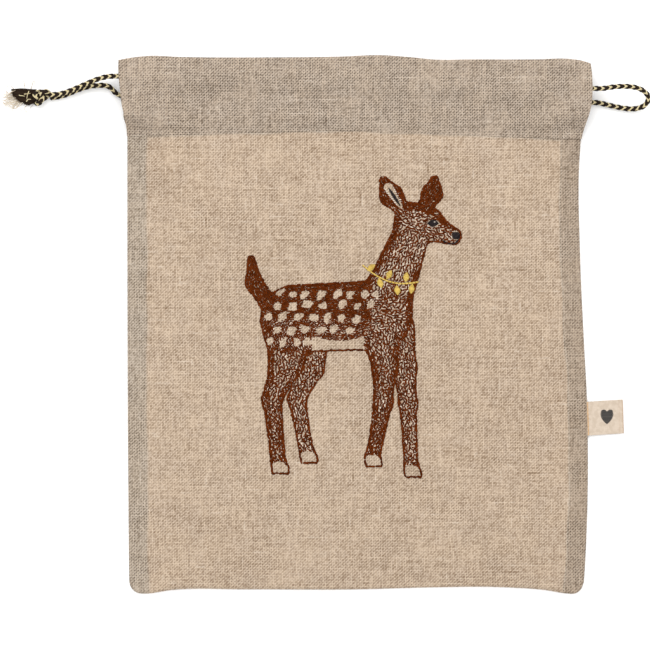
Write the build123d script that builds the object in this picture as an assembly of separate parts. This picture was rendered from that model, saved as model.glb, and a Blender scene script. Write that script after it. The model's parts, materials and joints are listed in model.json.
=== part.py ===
from build123d import *
import math
import os

# A flat linen drawstring pouch lying on its back on a table, slightly filled with air.
# Frame: +X right, +Y towards the mouth, +Z up. Origin: middle of the flat underside.
# All sizes are in millimetres.

# ---- Driving dimensions ----
HALF_WIDTH_TOP = 127.0  # half width of the body where it meets the casings
HALF_WIDTH_BOTTOM = 129.0
BOTTOM_Y = -149.0
CASING_Y = 106.0  # lower edge of both casings
TOP_Y = 149.5
CASING_HALF_WIDTH = 132.0  # the casing ends are not sewn in, so they flare past the body

LINEN = 0.6
LINING = 0.4
SEAM_FOLD = 0.8  # thickness of the turned-in edges, pressed flat
SEAM_WIDTH = 11.0
SEAM_SLOT = 0.9  # room for the seam thread outside each turned-in edge
THREAD = 0.6
STITCH = 0.3
STITCH_GAP = 0.03  # the casing rows lie this far off the cloth

PUFF = 7.2  # how far the front stands off the back in the middle
PUFF_ACROSS = 6  # powers that shape the fall towards the seams
PUFF_ALONG = 8

CORD = 2.7
CHANNEL = 3.3
CASING_LOW_THICK = LINEN + LINING
CASING_THICK = CHANNEL + 2 * LINEN
CASING_FOLD_THICK = 1.6
CASING_RISE = 12.0  # length over which the casing thickens from its stitched edge
CASING_FALL = 6.5  # length over which it thins again to the folded top edge
CHANNEL_Y = (110.0, 146.5)

LABEL_OUT = 20.3
LABEL_HEIGHT = 19.0
LABEL_THICK = 0.7
LABEL_SLIT = 0.1
LABEL_X = 129.7
LABEL_Y = -53.2
LABEL_Z = 1.9
MARK_THICK = 0.2

EMBROIDERY = 0.4

KNOT_X = -171.4  # the face where both tails enter the knot
KNOT_SIZE = (10.6, 9.4, 8.0)
KNOT_BASE = 0.3
KNOT_ROUND = 3.2
KNOT_Y = 127.5

# Route of the whole drawstring: knot, front tail, front casing, loop, back casing, back tail, knot.
CORD_ROUTE = [
    (-171.4, 128.5, 5.0),
    (-166.3, 128.5, 5.1),
    (-160.3, 130.9, 6.1),
    (-153.0, 134.5, 8.7),
    (-144.2, 137.2, 11.2),
    (-134.0, 139.2, 11.25),
    (134.5, 130.7, 11.25),
    (143.5, 132.5, 11.2),
    (152.3, 132.9, 9.9),
    (159.6, 131.6, 8.2),
    (164.3, 127.5, 6.4),
    (162.6, 122.4, 4.7),
    (156.3, 120.3, 3.4),
    (148.3, 121.3, 2.45),
    (140.5, 123.2, 2.25),
    (133.0, 125.0, 2.25),
    (-130.5, 128.6, 2.25),
    (-135.8, 129.9, 2.25),
    (-138.5, 133.3, 2.25),
    (-143.6, 134.2, 2.2),
    (-150.5, 132.9, 1.5),
    (-158.0, 129.3, 1.45),
    (-165.5, 126.9, 2.0),
    (-171.4, 126.9, 2.1),
]

# The embroidered animal, a plain young deer in profile: tapered limbs (x, y, radius) to (x, y, radius).
DEER_LIMBS = [
    ((-34, 3, 18.5), (12, 5, 19)),  # barrel
    ((17, 14, 14), (30, 48, 10)),  # neck
    ((32, 57, 10.5), (40, 56, 9)),  # skull
    ((42, 54, 7.5), (54, 49, 4.5)),  # muzzle
    ((27, 63, 3.5), (19.5, 72, 5.6)),  # near ear
    ((19.5, 72, 5.6), (15.5, 80, 2.2)),
    ((38, 64, 3), (42.5, 73, 5)),  # far ear
    ((42.5, 73, 5), (44, 80.5, 2)),
    ((-37, 0, 15.5), (-39, -22, 9)),  # near hind leg
    ((-39, -22, 9), (-47, -42, 4.8)),
    ((-47, -42, 4.8), (-43, -81, 3.6)),
    ((-26, -4, 12), (-26, -24, 7.5)),  # far hind leg
    ((-26, -24, 7.5), (-33, -42, 4.4)),
    ((-33, -42, 4.4), (-27, -75, 3.4)),
    ((14, -4, 11), (16, -24, 6.5)),  # near foreleg
    ((16, -24, 6.5), (15, -44, 4.6)),
    ((15, -44, 4.6), (9, -77, 3.4)),
    ((23, -2, 9.5), (27, -24, 6)),  # far foreleg
    ((27, -24, 6), (29, -44, 4.4)),
    ((29, -44, 4.4), (31, -83, 3.4)),
    ((-51, 13, 4.5), (-59, 24, 5)),  # tail
    ((-59, 24, 5), (-59, 36, 2.6)),
]
DEER_DARKS = [
    ((42.5, 56.5, 1.8), (44, 56.1, 1.4)),  # eye
    ((55.5, 50, 2.2), (56.5, 48.8, 1.8)),  # nose
    ((24, 66.5, 1.2), (18.5, 74.5, 2.2)),  # inside of the near ear
    ((39.6, 66.5, 1.0), (42.3, 74, 1.8)),  # inside of the far ear
]
COLLAR = [
    ((3.5, 33, 0.9), (13, 26, 0.9)),
    ((13, 26, 0.9), (24, 22.5, 0.9)),
    ((24, 22.5, 0.9), (35, 23.5, 0.9)),
]
COLLAR_LEAVES = [  # middle of each leaf and the angle it points at
    (8.5, 31.5, 35),
    (13.5, 22.8, -75),
    (18.5, 27.6, 60),
    (23, 18.8, -85),
    (28, 26.2, 80),
    (31, 19.6, -100),
]
LEAF = (3.2, 1.3)  # half length and half width
HEART_LOBE = 2.3
HEART_SPREAD = 1.9
HEART_POINT = (0, -5.2)
BRAID_END = (11.5, 2.2, 5.0, 1.9)  # distance past the knot, height, half width and half height
CORE_END = (16.5, 1.6, 8.0, 1.2)
CORE_DRIFT = 0.8
BRAID_ROOT = (3.6, 2.4)  # height and radius where the braid leaves the knot

# ---- Values that follow from them ----
FRONT_Z = LINEN + LINING + SEAM_FOLD  # underside of the front lining at the seams
BODY_LENGTH = CASING_Y - BOTTOM_Y
GRID = 33


def smooth(t):
    t = min(max(t, 0.0), 1.0)
    return t * t * (3 - 2 * t)


def half_width(y):
    share = (CASING_Y - y) / BODY_LENGTH
    return HALF_WIDTH_TOP + share * (HALF_WIDTH_BOTTOM - HALF_WIDTH_TOP)


def front_height(across, y):
    """Underside of the front lining; across runs from -1 to 1 between the side seams."""
    along = (y - BOTTOM_Y) / BODY_LENGTH
    return FRONT_Z + PUFF * (1 - across**PUFF_ACROSS) * (1 - (1 - along) ** PUFF_ALONG)


def casing_thickness(y):
    """A casing is thin where it is stitched, full over the cord, and thin again at its fold."""
    rise = smooth((y - CASING_Y) / CASING_RISE)
    fall = smooth((y - (TOP_Y - CASING_FALL)) / CASING_FALL)
    full = CASING_LOW_THICK + rise * (CASING_THICK - CASING_LOW_THICK)
    return full - fall * (CASING_THICK - CASING_FOLD_THICK)


def front_casing_height(x, y):
    """Underside of the front casing: straight over the cord, drawn down to the seams at its lower corners."""
    pull = 1 - smooth((y - CASING_Y) / CASING_RISE)
    return FRONT_Z + PUFF * (1 - pull * (x / CASING_HALF_WIDTH) ** PUFF_ACROSS)


def steps(low, high, count=GRID):
    return [low + (high - low) * i / (count - 1) for i in range(count)]


def body_surface(lift):
    """Surface of the whole front, lifted off the underside of its lining."""
    return Face.make_surface_from_array_of_points(
        [
            [(a * half_width(y), y, front_height(a, y) + lift) for a in steps(-1, 1)]
            for y in steps(BOTTOM_Y, CASING_Y)
        ],
        tol=0.004,
        min_deg=3,
        max_deg=5,
    )


def height_surface(half, low_y, high_y, height):
    """Surface z = height(x, y) over a rectangle that is symmetric in X."""
    return Face.make_surface_from_array_of_points(
        [[(x, y, height(x, y)) for x in steps(-half, half)] for y in steps(low_y, high_y, 2 * GRID)],
        tol=0.004,
        min_deg=3,
        max_deg=5,
    )


def between(lower, upper):
    """Closed solid between two surfaces that lie one above the other."""
    faces = [lower, upper]
    for key in (lambda e: e.center().X, lambda e: e.center().Y):
        low_edges = sorted(lower.edges(), key=key)
        high_edges = sorted(upper.edges(), key=key)
        for end in (0, -1):
            faces.append(Face.make_surface_from_curves(low_edges[end], high_edges[end]))
    return Solid(Shell(faces))


def slab(corners, low_z, thickness):
    return Pos(0, 0, low_z) * extrude(Polygon(*corners, align=None), thickness, dir=(0, 0, 1))


def body_outline():
    low, high = HALF_WIDTH_BOTTOM, HALF_WIDTH_TOP
    return [(-low, BOTTOM_Y), (low, BOTTOM_Y), (high, CASING_Y), (-high, CASING_Y)]


def limb(start, end):
    (x1, y1, r1), (x2, y2, r2) = start, end
    circles = Pos(x1, y1) * Circle(r1) + Pos(x2, y2) * Circle(r2)
    return make_hull(circles.edges())


def limbs(pairs):
    shape = limb(*pairs[0])
    for pair in pairs[1:]:
        shape += limb(*pair)
    return shape


def on_front(sketch, thickness):
    """A thin layer of the sketch's outline lying on the curved front panel."""
    lift = LINING + LINEN
    layer = between(body_surface(lift), body_surface(lift + thickness))
    return layer & extrude(sketch, 2 * PUFF, dir=(0, 0, 1))


# ---- Cloth ----
def back_panel():
    return slab(body_outline(), 0, LINEN)


def back_lining():
    return slab(body_outline(), LINEN, LINING)


def front_lining():
    return between(body_surface(0), body_surface(LINING))


def front_panel():
    return between(body_surface(LINING), body_surface(LINING + LINEN))


def side_seam_allowance(side):
    low_y = BOTTOM_Y + SEAM_SLOT
    outer_low, outer_high = half_width(low_y) - SEAM_SLOT, half_width(CASING_Y) - SEAM_SLOT
    corners = [
        (side * outer_low, low_y),
        (side * outer_high, CASING_Y),
        (side * (outer_high - SEAM_WIDTH), CASING_Y),
        (side * (outer_low - SEAM_WIDTH), low_y),
    ]
    return slab(corners, LINEN + LINING, SEAM_FOLD)


def bottom_seam_allowance():
    low_y = BOTTOM_Y + SEAM_SLOT
    reach = HALF_WIDTH_BOTTOM - SEAM_SLOT - SEAM_WIDTH - 0.5
    corners = [(-reach, low_y), (reach, low_y), (reach, low_y + SEAM_WIDTH), (-reach, low_y + SEAM_WIDTH)]
    return slab(corners, LINEN + LINING, SEAM_FOLD)


def seam_stitching():
    """One thread along each side seam and one along the bottom, in the slot outside the folds."""
    z = LINEN + LINING + SEAM_FOLD / 2
    inset = SEAM_SLOT / 2
    threads = []
    for side in (-1, 1):
        low = (side * (half_width(BOTTOM_Y + 1) - inset), BOTTOM_Y + 1, z)
        high = (side * (half_width(CASING_Y - 1) - inset), CASING_Y - 1, z)
        threads.append(tube([low, high], THREAD))
    reach = HALF_WIDTH_BOTTOM - 1.5
    threads.append(tube([(-reach, BOTTOM_Y + inset, z), (reach, BOTTOM_Y + inset, z)], THREAD))
    return Compound(children=threads)


def tube(points, diameter):
    path = Polyline(*points)
    return sweep(Plane(points[0], z_dir=path % 0) * Circle(diameter / 2), path=path)


# ---- Casings ----
def casing(height):
    """A flat tube of linen, closed along both long edges and open at both ends."""
    outside = between(
        height_surface(CASING_HALF_WIDTH, CASING_Y, TOP_Y, height),
        height_surface(CASING_HALF_WIDTH, CASING_Y, TOP_Y, lambda x, y: height(x, y) + casing_thickness(y)),
    )
    past = CASING_HALF_WIDTH + 1
    inside = between(
        height_surface(past, *CHANNEL_Y, lambda x, y: height(x, y) + LINEN),
        height_surface(past, *CHANNEL_Y, lambda x, y: height(x, y) + casing_thickness(y) - LINEN),
    )
    return outside - inside


def flat_height(x, y):
    return 0.0


def casing_stitching(height):
    """The row of thread on top of the casing's stitched edge."""
    low_y, high_y, reach = CASING_Y + 0.8, CASING_Y + 1.4, HALF_WIDTH_TOP - 1
    return between(
        height_surface(reach, low_y, high_y, lambda x, y: height(x, y) + casing_thickness(y) + STITCH_GAP),
        height_surface(reach, low_y, high_y, lambda x, y: height(x, y) + casing_thickness(y) + STITCH),
    )


# ---- Label ----
def side_label():
    """A woven tab folded in two, its fold outwards."""
    whole = Box(LABEL_OUT, LABEL_HEIGHT, LABEL_THICK, align=(Align.MIN, Align.CENTER, Align.CENTER))
    slit = Box(LABEL_OUT - 0.5, LABEL_HEIGHT, LABEL_SLIT, align=(Align.MIN, Align.CENTER, Align.CENTER))
    return Pos(LABEL_X, LABEL_Y, LABEL_Z) * (whole - slit)


def label_mark():
    """A small plain heart in woven thread on the upper layer."""
    heart = Pos(0, HEART_LOBE / 2) * Circle(HEART_LOBE / 2)
    for side in (-1, 1):
        heart += Pos(side * HEART_SPREAD, HEART_LOBE / 2) * Circle(HEART_LOBE)
        flank = (side * (HEART_SPREAD + HEART_LOBE * math.cos(math.pi / 6)), 0)
        corners = [HEART_POINT, flank, (0, HEART_LOBE)]
        heart += Polygon(*(corners if side > 0 else corners[::-1]), align=None)
    place = Pos(LABEL_X + LABEL_OUT / 2, LABEL_Y, LABEL_Z + LABEL_THICK / 2)
    return place * extrude(heart, MARK_THICK)


def label_seam_thread():
    """A short row of thread on the front beside the label."""
    x = half_width(LABEL_Y) - 1.2
    return on_front(Pos(x, LABEL_Y) * Rectangle(THREAD, LABEL_HEIGHT + 1), STITCH)


# ---- Embroidery ----
def collar_shape():
    shape = limbs(COLLAR)
    for x, y, angle in COLLAR_LEAVES:
        shape += Pos(x, y) * Rot(0, 0, angle) * Ellipse(*LEAF)
    return shape


def embroidery():
    dark = limbs(DEER_DARKS)
    gold = collar_shape()
    brown = limbs(DEER_LIMBS) - dark - gold
    return [on_front(shape, EMBROIDERY) for shape in (brown, dark, gold)]


# ---- Drawstring ----
def corner_radii(points):
    """Largest arc that the runs beside each corner allow."""
    radii = []
    for before, corner, after in zip(points, points[1:], points[2:]):
        first, second = Vector(corner) - Vector(before), Vector(after) - Vector(corner)
        half_turn = math.radians(first.get_angle(second)) / 2
        radii.append(0.45 * min(first.length, second.length) / math.tan(half_turn))
    return radii


def drawstring():
    """The whole cord as one tube, cut where it leaves the casings."""
    radii = corner_radii(CORD_ROUTE)
    print("cord radii", [round(r, 1) for r in radii])
    path = FilletPolyline(*CORD_ROUTE, radius=radii)
    cord = sweep(Plane(CORD_ROUTE[0], z_dir=path % 0) * Circle(CORD / 2), path=path)
    section = math.pi * (CORD / 2) ** 2
    print("cord length", round(path.length, 1), "volume ratio", round(cord.volume / (section * path.length), 4))
    inside = Box(2 * CASING_HALF_WIDTH, 200, 60)
    inside = Pos(0, 120, 0) * inside
    free = sorted((cord - inside).solids(), key=lambda s: s.center().X)
    runs = sorted((cord & inside).solids(), key=lambda s: s.center().Z)
    print("free stretches", [round(s.volume / section, 1) for s in free])
    loop = free[-1]
    back_tail, front_tail = sorted(free[:-1], key=lambda s: s.center().Z)
    return runs[1], runs[0], loop, front_tail, back_tail


def knot():
    length, width, height = KNOT_SIZE
    body = Box(length, width, height, align=(Align.MAX, Align.CENTER, Align.MIN))
    return Pos(KNOT_X, KNOT_Y, KNOT_BASE) * fillet(body.edges(), KNOT_ROUND)


def brush(start, end):
    """A bundle of loose threads between two upright ellipses, each (x, y, z, half width, half height)."""
    sections = []
    for x, y, z, wide, high in (start, end):
        plane = Plane((x, y, z), x_dir=(0, 1, 0), z_dir=(1, 0, 0))
        sections.append(plane * Ellipse(wide, high))
    return loft(sections)


def main():
    front_run, back_run, loop, front_tail, back_tail = drawstring()
    brown, dark, gold = embroidery()
    knot_end = KNOT_X - KNOT_SIZE[0]
    root_z, root_radius = BRAID_ROOT
    braid_root = (knot_end, KNOT_Y, root_z, root_radius, root_radius)
    braid_end = (knot_end - BRAID_END[0], KNOT_Y, *BRAID_END[1:])
    core_end = (knot_end - CORE_END[0], KNOT_Y - CORE_DRIFT, *CORE_END[1:])
    parts = {
        "back_panel": back_panel(),
        "back_lining": back_lining(),
        "front_lining": front_lining(),
        "front_panel": front_panel(),
        "left_seam_allowance": side_seam_allowance(-1),
        "right_seam_allowance": side_seam_allowance(1),
        "bottom_seam_allowance": bottom_seam_allowance(),
        "seam_stitching": seam_stitching(),
        "back_casing": casing(flat_height),
        "front_casing": casing(front_casing_height),
        "back_casing_stitching": casing_stitching(flat_height),
        "front_casing_stitching": casing_stitching(front_casing_height),
        "label_seam_thread": label_seam_thread(),
        "fawn_embroidery": brown,
        "embroidery_face_details": dark,
        "embroidery_gold_collar": gold,
        "side_label": side_label(),
        "label_mark": label_mark(),
        "drawstring_front_run": front_run,
        "drawstring_back_run": back_run,
        "drawstring_loop": loop,
        "drawstring_front_tail": front_tail,
        "drawstring_back_tail": back_tail,
        "drawstring_knot": knot(),
        "drawstring_frayed_braid": brush(braid_root, braid_end),
        "drawstring_core_fibres": brush(braid_end, core_end),
    }
    os.makedirs("parts", exist_ok=True)
    for name, shape in parts.items():
        export_step(shape, f"parts/{name}.step")


main()
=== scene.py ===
import json
import math
import random

import bpy
import numpy as np
from mathutils import Vector

# A flat linen drawstring pouch, seen from straight above. Shapes are worked out in millimetres in the
# frame's own axes (X right, Y to the mouth, Z up) and turned into metres when a mesh is made.
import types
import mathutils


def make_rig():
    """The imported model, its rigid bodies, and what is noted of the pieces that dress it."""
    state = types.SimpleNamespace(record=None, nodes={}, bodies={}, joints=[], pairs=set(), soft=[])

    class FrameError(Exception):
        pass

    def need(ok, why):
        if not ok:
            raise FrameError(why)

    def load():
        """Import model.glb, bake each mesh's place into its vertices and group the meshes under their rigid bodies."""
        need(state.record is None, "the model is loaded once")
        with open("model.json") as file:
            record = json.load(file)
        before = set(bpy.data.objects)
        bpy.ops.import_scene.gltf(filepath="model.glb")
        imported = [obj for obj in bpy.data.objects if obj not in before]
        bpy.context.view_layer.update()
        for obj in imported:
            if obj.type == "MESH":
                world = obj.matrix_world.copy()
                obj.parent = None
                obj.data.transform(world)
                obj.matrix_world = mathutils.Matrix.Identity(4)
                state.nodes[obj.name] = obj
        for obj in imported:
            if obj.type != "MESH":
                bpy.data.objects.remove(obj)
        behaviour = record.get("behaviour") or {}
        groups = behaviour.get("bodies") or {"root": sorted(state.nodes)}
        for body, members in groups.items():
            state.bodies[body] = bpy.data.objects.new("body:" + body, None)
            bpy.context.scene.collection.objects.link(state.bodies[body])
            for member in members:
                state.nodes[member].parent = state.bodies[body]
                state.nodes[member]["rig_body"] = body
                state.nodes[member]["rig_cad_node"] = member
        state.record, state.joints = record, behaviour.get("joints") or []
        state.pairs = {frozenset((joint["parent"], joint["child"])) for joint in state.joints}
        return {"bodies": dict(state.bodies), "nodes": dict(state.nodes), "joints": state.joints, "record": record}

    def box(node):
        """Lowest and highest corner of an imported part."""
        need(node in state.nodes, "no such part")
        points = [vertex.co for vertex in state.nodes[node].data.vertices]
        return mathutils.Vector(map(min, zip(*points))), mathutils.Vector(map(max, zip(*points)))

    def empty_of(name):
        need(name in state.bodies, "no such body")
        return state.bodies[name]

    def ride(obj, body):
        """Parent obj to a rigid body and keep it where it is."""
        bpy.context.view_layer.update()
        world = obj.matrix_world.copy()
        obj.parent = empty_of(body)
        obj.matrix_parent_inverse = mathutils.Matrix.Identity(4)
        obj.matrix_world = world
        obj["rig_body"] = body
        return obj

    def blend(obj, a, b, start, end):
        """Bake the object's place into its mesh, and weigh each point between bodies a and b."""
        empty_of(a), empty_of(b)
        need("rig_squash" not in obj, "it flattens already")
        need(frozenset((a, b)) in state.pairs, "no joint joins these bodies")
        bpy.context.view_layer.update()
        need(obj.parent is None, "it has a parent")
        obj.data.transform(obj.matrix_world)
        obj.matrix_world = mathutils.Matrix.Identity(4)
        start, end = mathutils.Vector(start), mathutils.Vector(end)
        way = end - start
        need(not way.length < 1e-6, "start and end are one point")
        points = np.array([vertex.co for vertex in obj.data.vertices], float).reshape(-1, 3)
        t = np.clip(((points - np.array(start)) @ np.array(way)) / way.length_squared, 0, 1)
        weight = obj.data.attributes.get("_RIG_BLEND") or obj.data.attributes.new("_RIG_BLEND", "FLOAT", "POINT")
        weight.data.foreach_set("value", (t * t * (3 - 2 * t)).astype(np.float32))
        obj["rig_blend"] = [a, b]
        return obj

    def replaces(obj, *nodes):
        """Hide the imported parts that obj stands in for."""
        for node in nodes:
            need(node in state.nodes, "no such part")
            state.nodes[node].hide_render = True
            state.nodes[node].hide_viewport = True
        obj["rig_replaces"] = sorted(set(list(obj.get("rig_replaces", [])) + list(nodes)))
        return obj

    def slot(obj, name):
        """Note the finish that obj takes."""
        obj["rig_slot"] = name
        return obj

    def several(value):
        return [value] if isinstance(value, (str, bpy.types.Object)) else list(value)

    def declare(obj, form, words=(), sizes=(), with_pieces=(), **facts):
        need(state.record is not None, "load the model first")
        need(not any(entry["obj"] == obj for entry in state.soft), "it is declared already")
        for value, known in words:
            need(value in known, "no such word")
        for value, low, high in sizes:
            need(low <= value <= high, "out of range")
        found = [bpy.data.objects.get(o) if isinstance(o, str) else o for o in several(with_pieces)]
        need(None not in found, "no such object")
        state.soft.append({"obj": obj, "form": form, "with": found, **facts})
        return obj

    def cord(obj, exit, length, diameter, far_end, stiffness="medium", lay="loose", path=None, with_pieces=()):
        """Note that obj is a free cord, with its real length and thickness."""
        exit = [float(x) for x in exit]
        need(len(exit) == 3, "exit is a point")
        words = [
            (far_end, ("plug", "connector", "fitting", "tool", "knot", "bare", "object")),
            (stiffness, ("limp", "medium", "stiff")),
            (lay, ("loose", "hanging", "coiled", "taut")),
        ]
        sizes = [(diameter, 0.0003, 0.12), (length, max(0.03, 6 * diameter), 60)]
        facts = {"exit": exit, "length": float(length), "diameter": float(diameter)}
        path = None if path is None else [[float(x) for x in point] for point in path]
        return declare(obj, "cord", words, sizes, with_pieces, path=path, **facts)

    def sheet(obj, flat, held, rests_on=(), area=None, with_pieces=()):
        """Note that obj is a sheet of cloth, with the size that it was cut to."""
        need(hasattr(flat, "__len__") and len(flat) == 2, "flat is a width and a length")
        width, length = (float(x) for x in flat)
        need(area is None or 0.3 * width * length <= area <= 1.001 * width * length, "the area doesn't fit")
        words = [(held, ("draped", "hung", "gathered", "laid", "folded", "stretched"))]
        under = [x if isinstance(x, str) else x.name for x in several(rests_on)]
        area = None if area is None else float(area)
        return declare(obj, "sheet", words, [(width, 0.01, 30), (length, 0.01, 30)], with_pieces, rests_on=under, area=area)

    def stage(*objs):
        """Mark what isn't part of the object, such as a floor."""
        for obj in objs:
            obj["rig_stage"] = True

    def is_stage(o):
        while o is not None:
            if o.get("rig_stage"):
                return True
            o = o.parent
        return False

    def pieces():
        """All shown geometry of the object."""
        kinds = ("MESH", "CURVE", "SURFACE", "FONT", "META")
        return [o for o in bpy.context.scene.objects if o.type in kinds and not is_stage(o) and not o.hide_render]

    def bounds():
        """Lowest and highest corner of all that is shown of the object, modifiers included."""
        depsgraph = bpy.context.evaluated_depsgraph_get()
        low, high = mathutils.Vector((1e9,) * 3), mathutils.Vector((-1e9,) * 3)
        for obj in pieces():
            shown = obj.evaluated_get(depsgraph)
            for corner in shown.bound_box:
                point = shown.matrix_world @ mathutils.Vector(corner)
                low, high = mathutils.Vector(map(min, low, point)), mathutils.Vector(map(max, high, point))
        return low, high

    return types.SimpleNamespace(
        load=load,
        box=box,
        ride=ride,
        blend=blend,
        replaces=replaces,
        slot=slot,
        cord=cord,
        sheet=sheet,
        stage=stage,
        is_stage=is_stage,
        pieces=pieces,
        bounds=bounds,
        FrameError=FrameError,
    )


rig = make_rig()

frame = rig.load()
CAD_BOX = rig.bounds()
MM = 0.001

# ---- Sizes that the CAD model settles ----
CASING_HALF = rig.box("front_casing")[1].x / MM
LOW_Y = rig.box("front_panel")[0].y / MM
CASING_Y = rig.box("front_casing")[0].y / MM
TOP_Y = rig.box("front_casing")[1].y / MM
FRONT_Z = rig.box("front_lining")[0].z / MM
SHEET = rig.box("back_lining")[1].z / MM
CASING_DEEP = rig.box("back_casing")[1].z / MM
CORD = 2.7
PUFF = 7.2
LINEN = 0.5
SEAM_WIDTH = 11.0
SEAM_Z = 1.4
CORNER = 6.0
BODY_WIDTH = 256.0
BODY_LENGTH = CASING_Y - LOW_Y
BOTTOM_STRIP = 230.0
CASING_FLAT = 92.0  # a casing's cloth before it is folded double


# ---- Curves through a few points ----
def through(points):
    """A smooth curve, value against position, through listed points."""
    at = np.array([p[0] for p in points], float)
    value = np.array([p[1] for p in points], float)
    slope = np.gradient(value, at)

    def curve(x):
        x = np.clip(x, at[0], at[-1])
        i = np.clip(np.searchsorted(at, x) - 1, 0, len(at) - 2)
        gap = at[i + 1] - at[i]
        s = (x - at[i]) / gap
        rise = s * s * (3 - 2 * s)
        bend = s * (1 - s)
        pull = slope[i] * gap * (1 - s) - slope[i + 1] * gap * s
        return value[i] * (1 - rise) + value[i + 1] * rise + bend * pull

    return curve


def smooth(t):
    t = np.clip(t, 0, 1)
    return t * t * (3 - 2 * t)


body_left = through([(-150, -127.2), (-100, -127.7), (-40, -128.1), (40, -128.3), (108, -128.3)])
body_right = through(
    [(-151, 127.6), (-132, 128.8), (-100, 130.0), (-60, 130.1), (-40, 129.6), (-10, 128.0), (40, 125.8),
     (88, 125.3), (108, 126.6)]
)
body_bottom = through(
    [(-128, -150.4), (-119, -151.4), (-104, -149.4), (-60, -149.0), (0, -149.0), (41, -147.9),
     (80, -147.7), (105, -149.2), (122, -151.5), (130, -151.0)]
)
band_low = through(
    [(-133, 105.4), (-100, 105.8), (-60, 106.7), (-9, 107.9), (41, 106.1), (80, 104.8), (117, 103.8),
     (132, 104.0)]
)
band_top = through(
    [(-133, 147.5), (-125, 148.9), (-116, 149.8), (-98, 149.2), (-42, 149.0), (-9, 149.4), (14, 150.2),
     (30, 149.1), (44, 147.7), (64, 147.8), (103, 147.9), (118, 148.2), (127, 146.9), (132, 145.2)]
)
band_left = through(
    [(103, -128.3), (109, -128.6), (115, -129.4), (120, -130.4), (128, -131.4), (140, -132.5),
     (149, -132.7)]
)
band_right = through(
    [(103, 126.3), (109, 127.7), (115, 129.4), (121, 131.0), (130, 131.8), (138, 131.6), (146, 130.8)]
)


def front_band_left(y):
    return band_left(y) + 0.35 * np.exp(-(((y - 115.5) / 4.5) ** 2))


def back_band_left(y):
    """The back layer peeps out a little below the cord's openings."""
    return band_left(y) + 0.5 - 1.25 * np.exp(-(((y - 115.5) / 4.5) ** 2))


def back_band_right(y):
    return band_right(y) - 0.5


def ripple(x, y, seed, scale):
    """Smooth wandering unevenness between about -1 and 1."""
    rng = np.random.default_rng(seed)
    total = np.zeros(np.broadcast(x, y).shape)
    waves = 7
    for _ in range(waves):
        angle = rng.uniform(0, 2 * math.pi)
        size = scale * rng.uniform(0.6, 1.7)
        phase = rng.uniform(0, 2 * math.pi)
        total = total + np.sin((x * math.cos(angle) + y * math.sin(angle)) * 2 * math.pi / size + phase)
    return total / math.sqrt(waves) * 0.7


# ---- The puffed front ----
def body_low_edge(x):
    """Lower edge of the body with its rounded corners."""
    low = body_bottom(x)
    side = np.minimum(x - body_left(low), body_right(low) - x)
    side = np.clip(side, 0, CORNER)
    return low + CORNER - np.sqrt(CORNER**2 - (CORNER - side) ** 2)


def body_shares(x, y):
    """Place across the body from -1 to 1, and along it from 0 at the bottom to 1 at the casing."""
    left, right = body_left(y), body_right(y)
    across = np.clip((2 * x - left - right) / (right - left), -1, 1)
    low, high = body_low_edge(x), band_low(x)
    return across, np.clip((y - low) / (high - low), 0, 1)


def edge_distance(x, y):
    """Distance in from the sewn edges of the body."""
    sides = np.minimum(x - body_left(y), body_right(y) - x)
    return np.clip(np.minimum(sides, y - body_low_edge(x)), 0, None)


def cloth_drift(x, y):
    """Slow and quick unevenness of the puffed front, the same for the panel and its casing."""
    sides = np.clip(np.minimum(x + 128, 128 - x), 0, None)
    slow = 0.34 * ripple(x, y, 3, 85) * smooth(sides / 30)
    return slow + 0.13 * ripple(x, y, 5, 26) * smooth(sides / 12)


def casing_pucker(x, y):
    """Small gathers each side of the line where the casing is sewn down."""
    near = np.exp(-(((y - band_low(x)) / 8) ** 2))
    return 0.20 * near * np.sin(x * 0.47 + 2.5 * ripple(x, 0 * y, 9, 70))


def front_z(x, y):
    """Top of the front linen panel."""
    across, along = body_shares(x, y)
    z = FRONT_Z + SHEET + PUFF * (1 - np.abs(across) ** 6) * (1 - (1 - along) ** 8)
    inside = edge_distance(x, y)
    z += cloth_drift(x, y) * smooth((y - body_low_edge(x)) / 20) + casing_pucker(x, y)
    pucker = np.exp(-((inside / 7) ** 2)) * smooth(inside / 1.5)
    z += 0.16 * pucker * np.sin(y * 0.62 + 2.2 * ripple(x, y, 8, 60))
    z += 0.22 * smooth((SEAM_WIDTH - inside) / 2.0) * smooth(inside / 1.5)
    past_band = y - band_low(x)
    z -= 0.04 * np.exp(-((past_band / 1.0) ** 2)) + 0.60 * smooth(past_band / 0.7)
    round_over = np.clip(inside / 1.8, 0, 1)
    return SEAM_Z + (z - SEAM_Z) * np.sqrt(1 - (1 - round_over) ** 2)


def back_z(x, y):
    """Underside of the back linen panel: flat on the table, rounding up to the seam."""
    round_over = np.clip(edge_distance(x, y) / 1.6, 0, 1)
    return 0.02 + (SEAM_Z - 0.12) * (1 - np.sqrt(1 - (1 - round_over) ** 2))


# ---- Mesh helpers ----
def new_object(name, points, faces, material, soft=True, tones=None):
    mesh = bpy.data.meshes.new(name)
    mesh.from_pydata((np.asarray(points) * MM).tolist(), [], faces)
    mesh.update()
    obj = bpy.data.objects.new(name, mesh)
    bpy.context.scene.collection.objects.link(obj)
    for m in material if isinstance(material, (list, tuple)) else [material]:
        mesh.materials.append(m)
    if soft:
        mesh.polygons.foreach_set("use_smooth", [True] * len(mesh.polygons))
    if tones is not None:
        layer = mesh.attributes.new("tone", "FLOAT", "POINT")
        layer.data.foreach_set("value", np.asarray(tones, float))
    return obj


def settle(obj, body, slot, node=None):
    """Fixes a mesh to a body of the frame and says which CAD node it stands for."""
    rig.ride(obj, body)
    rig.slot(obj, slot)
    if node:
        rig.replaces(obj, node)
    return obj


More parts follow.
